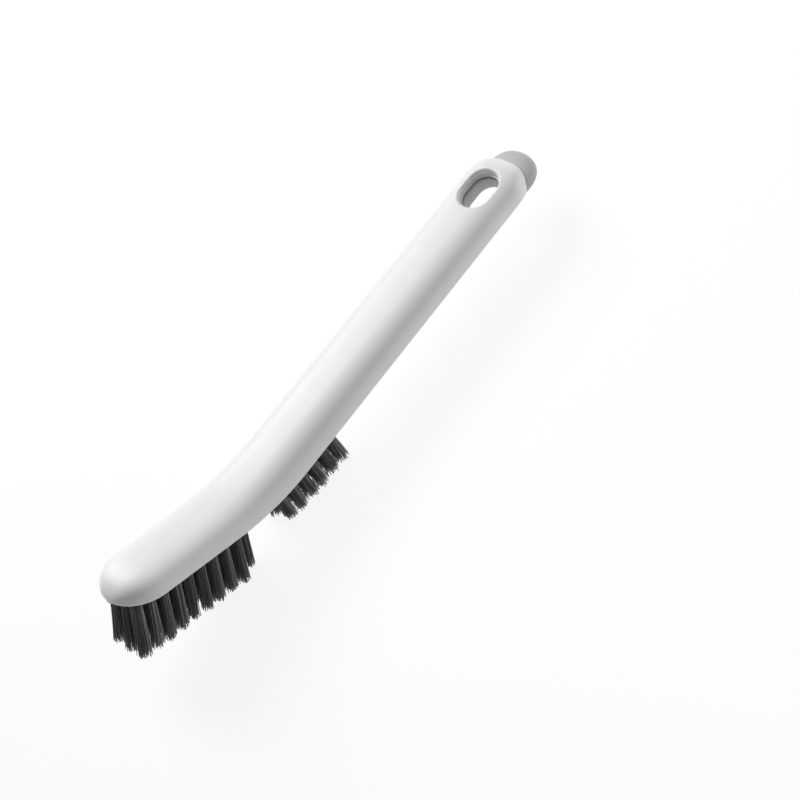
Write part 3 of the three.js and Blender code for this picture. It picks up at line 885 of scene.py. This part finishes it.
def anchor_wire():
    """Drawn steel wire, uneven in tone and gloss."""
    material, tree, shader = new_material("drawn_anchor_wire")
    tone = map_range(tree, noise(tree, *WIRE_TONE_NOISE), NOISE_SPAN, (0, 1))
    tree.links.new(mix_colours(tree, tone, WIRE_DULL, WIRE_BRIGHT), shader.inputs["Base Color"])
    shader.inputs["Metallic"].default_value = 1
    satin = map_range(tree, noise(tree, *WIRE_NOISE), NOISE_SPAN, WIRE_ROUGHNESS)
    tree.links.new(satin, shader.inputs["Roughness"])
    return material


def settle(piece, slot, *nodes):
    """Rides a piece on the brush's one body and lets it stand for CAD nodes."""
    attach(piece, "root")
    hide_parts(*nodes)


class BRUSH_OT_shell(bpy.types.Operator):
    """Build the white shell with its round-edged slot"""
    bl_idname = "brush.shell"
    bl_label = "Shell"

    def execute(self, context):
        settings = context.scene.brush_shell
        finish = moulded_plastic(
            "satin_white_moulding", settings.colour, settings.roughness,
            mottle=0.02, grain_scale=2600, grain_strength=0.06)
        settle(build_shell(settings, finish), "shell", "top_shell")
        return {"FINISHED"}


class BRUSH_OT_core(bpy.types.Operator):
    """Build the grey core with its tongue, and finish the anchors in it"""
    bl_idname = "brush.core"
    bl_label = "Core"

    def execute(self, context):
        settings = context.scene.brush_core
        finish = moulded_plastic(
            "matte_grey_moulding", settings.colour, settings.roughness,
            mottle=0.06, grain_scale=3400, grain_strength=0.16)
        settle(build_core(settings, finish), "core", "bristle_core")
        wire = anchor_wire()
        for name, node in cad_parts.items():
            if "_anchor_" in name:
                node.data.materials.clear()
                node.data.materials.append(wire)
        return {"FINISHED"}


class BRUSH_OT_tufts(bpy.types.Operator):
    """Build the filaments of the head's and the handle's tufts"""
    bl_idname = "brush.tufts"
    bl_label = "Bristle Tufts"

    def execute(self, context):
        settings = context.scene.brush_bristles
        finish = nylon_filament(settings.colour)
        head = build_tufts(
            "head_tufts", head_tufts(), BEND_ANGLE, HEAD_BRISTLE_LENGTH, settings, finish, settings.seed)
        settle(head, "bristles", "head_bristles")
        handle = build_tufts(
            "handle_tufts", handle_tufts(), 0.0, FIELD_BRISTLE_LENGTH, settings, finish, settings.seed + 1)
        settle(handle, "bristles", "handle_bristles")
        return {"FINISHED"}


class BRUSH_OT_stage(bpy.types.Operator):
    """Set up the floor, the light and the camera"""
    bl_idname = "brush.stage"
    bl_label = "Stage"

    def execute(self, context):
        settings = context.scene.brush_stage
        build_floor()
        add_lamp("key_lamp", KEY_PLACE, KEY_SIZE, settings.key_power)
        add_lamp("side_lamp", SIDE_PLACE, SIDE_SIZE, settings.side_power)
        light_world(settings.ambient)
        place_camera()
        context.scene.view_settings.view_transform = "Standard"
        return {"FINISHED"}


def seen_directly(tree):
    """1 for rays from the camera and for mirrored and clear ones, else 0."""
    path = tree.nodes.new("ShaderNodeLightPath")
    value = path.outputs["Is Camera Ray"]
    for label in ("Is Glossy Ray", "Is Transmission Ray"):
        node = tree.nodes.new("ShaderNodeMath")
        node.operation = "MAXIMUM"
        tree.links.new(value, node.inputs[0])
        tree.links.new(path.outputs[label], node.inputs[1])
        value = node.outputs["Value"]
    return value


def build_floor():
    """Floor that is white to the camera, keeps part of the brush's shadow and is clear from below."""
    reach = FLOOR_REACH
    corners = [(-reach, -reach, 0), (reach, -reach, 0), (reach, reach, 0), (-reach, reach, 0)]
    mesh = bpy.data.meshes.new("floor")
    mesh.from_pydata(corners, [], [(0, 1, 2, 3)])
    material, tree, shader = new_material("studio_floor")
    shader.inputs["Base Color"].default_value = FLOOR_WHITE
    shader.inputs["Roughness"].default_value = FLOOR_ROUGHNESS
    shader.inputs["Specular IOR Level"].default_value = 0
    shader.inputs["Emission Color"].default_value = WHITE
    tail_glow = map_range(tree, along_x(tree, "Object"), TAIL_GLOW_SPAN, (0, TAIL_GLOW))
    tree.links.new(tail_glow, shader.inputs["Emission Strength"])
    share = tree.nodes.new("ShaderNodeMath")
    share.operation = "MULTIPLY"
    share.inputs[1].default_value = FLOOR_GLOW
    tree.links.new(seen_directly(tree), share.inputs[0])
    glow = tree.nodes.new("ShaderNodeEmission").outputs["Emission"]
    above = mix_shaders(tree, share.outputs["Value"], shader.outputs["BSDF"], glow)
    side = tree.nodes.new("ShaderNodeNewGeometry").outputs["Backfacing"]
    clear = tree.nodes.new("ShaderNodeBsdfTransparent").outputs["BSDF"]
    both = mix_shaders(tree, side, above, clear)
    tree.links.new(both, tree.nodes["Material Output"].inputs["Surface"])
    mesh.materials.append(material)
    floor = link_object("floor", mesh)


def light_world(ambient):
    """World that is white to the camera and gives the brush a weaker light, least from the head's side."""
    world = bpy.data.worlds.new("studio_world")
    bpy.context.scene.world = world
    world.use_nodes = True
    tree = world.node_tree
    around = map_range(tree, along_x(tree, "Generated"), (-1, 0), (ambient * HEAD_SIDE_LIGHT, ambient))
    strength = tree.nodes.new("ShaderNodeMapRange")
    strength.inputs["To Max"].default_value = 1.0
    tree.links.new(around, strength.inputs["To Min"])
    tree.links.new(seen_directly(tree), strength.inputs["Value"])
    background = tree.nodes["Background"]
    background.inputs["Color"].default_value = WHITE
    tree.links.new(strength.outputs["Result"], background.inputs["Strength"])


def add_lamp(name, place, size, power):
    """Square area lamp aimed at the brush."""
    data = bpy.data.lights.new(name, "AREA")
    data.size = size
    data.energy = power
    lamp = link_object(name, data)
    lamp.location = place
    lamp.rotation_euler = Vector(place).to_track_quat("Z", "Y").to_euler()


def place_camera():
    """Camera at the photograph's angle, rolled about its own axis, with a small shift for the framing."""
    angles = (CAMERA_AZIMUTH, CAMERA_ELEVATION, CAMERA_ROLL)
    azimuth, elevation, roll = (math.radians(angle) for angle in angles)
    back = Vector((math.sin(azimuth) * math.cos(elevation), -math.cos(azimuth) * math.cos(elevation),
                   math.sin(elevation)))
    level = Vector((0, 0, 1)).cross(back).normalized()
    upright = back.cross(level)
    right = math.cos(roll) * level + math.sin(roll) * upright
    up = math.cos(roll) * upright - math.sin(roll) * level
    data = bpy.data.cameras.new("photo_camera")
    data.sensor_width = SENSOR
    data.lens = CAMERA_SCALE * CAMERA_DISTANCE / FRAME_PIXELS * SENSOR
    data.shift_x = (FRAME_PIXELS / 2 - CAMERA_CENTRE[0]) / FRAME_PIXELS
    data.shift_y = (CAMERA_CENTRE[1] - FRAME_PIXELS / 2) / FRAME_PIXELS
    data.clip_start = CAMERA_NEAREST
    camera = link_object("photo_camera", data)
    turn = Matrix((right, up, back)).transposed().to_4x4()
    camera.matrix_world = Matrix.Translation(Vector(CAMERA_TARGET) + back * CAMERA_DISTANCE) @ turn
    bpy.context.scene.camera = camera


class BRUSH_PT_panel(bpy.types.Panel):
    """Pieces of the shoe brush"""
    bl_idname = "BRUSH_PT_panel"
    bl_label = "Shoe Brush"
    bl_space_type = "VIEW_3D"
    bl_region_type = "UI"
    bl_category = "Shoe Brush"

    def draw(self, context):
        for operator, group in STEPS:
            box = self.layout.box()
            box.operator(operator.bl_idname)
            settings = getattr(context.scene, group)
            for label in settings.__annotations__:
                box.prop(settings, label)


GROUPS = {
    "brush_shell": ShellSettings,
    "brush_core": CoreSettings,
    "brush_bristles": BristleSettings,
    "brush_stage": StageSettings,
}
STEPS = (
    (BRUSH_OT_shell, "brush_shell"),
    (BRUSH_OT_core, "brush_core"),
    (BRUSH_OT_tufts, "brush_bristles"),
    (BRUSH_OT_stage, "brush_stage"),
)
CLASSES = (*GROUPS.values(), *(step[0] for step in STEPS), BRUSH_PT_panel)


def register():
    """Registers the classes and puts their settings on the scene."""
    for item in CLASSES:
        bpy.utils.register_class(item)
    for label, group in GROUPS.items():
        setattr(bpy.types.Scene, label, PointerProperty(type=group))


def unregister():
    """Takes the settings off the scene and unregisters the classes."""
    for label in GROUPS:
        delattr(bpy.types.Scene, label)
    for item in reversed(CLASSES):
        bpy.utils.unregister_class(item)


def main():
    register()
    bpy.ops.brush.shell()
    bpy.ops.brush.core()
    bpy.ops.brush.tufts()
    bpy.ops.brush.stage()


if __name__ == "__main__":
    main()
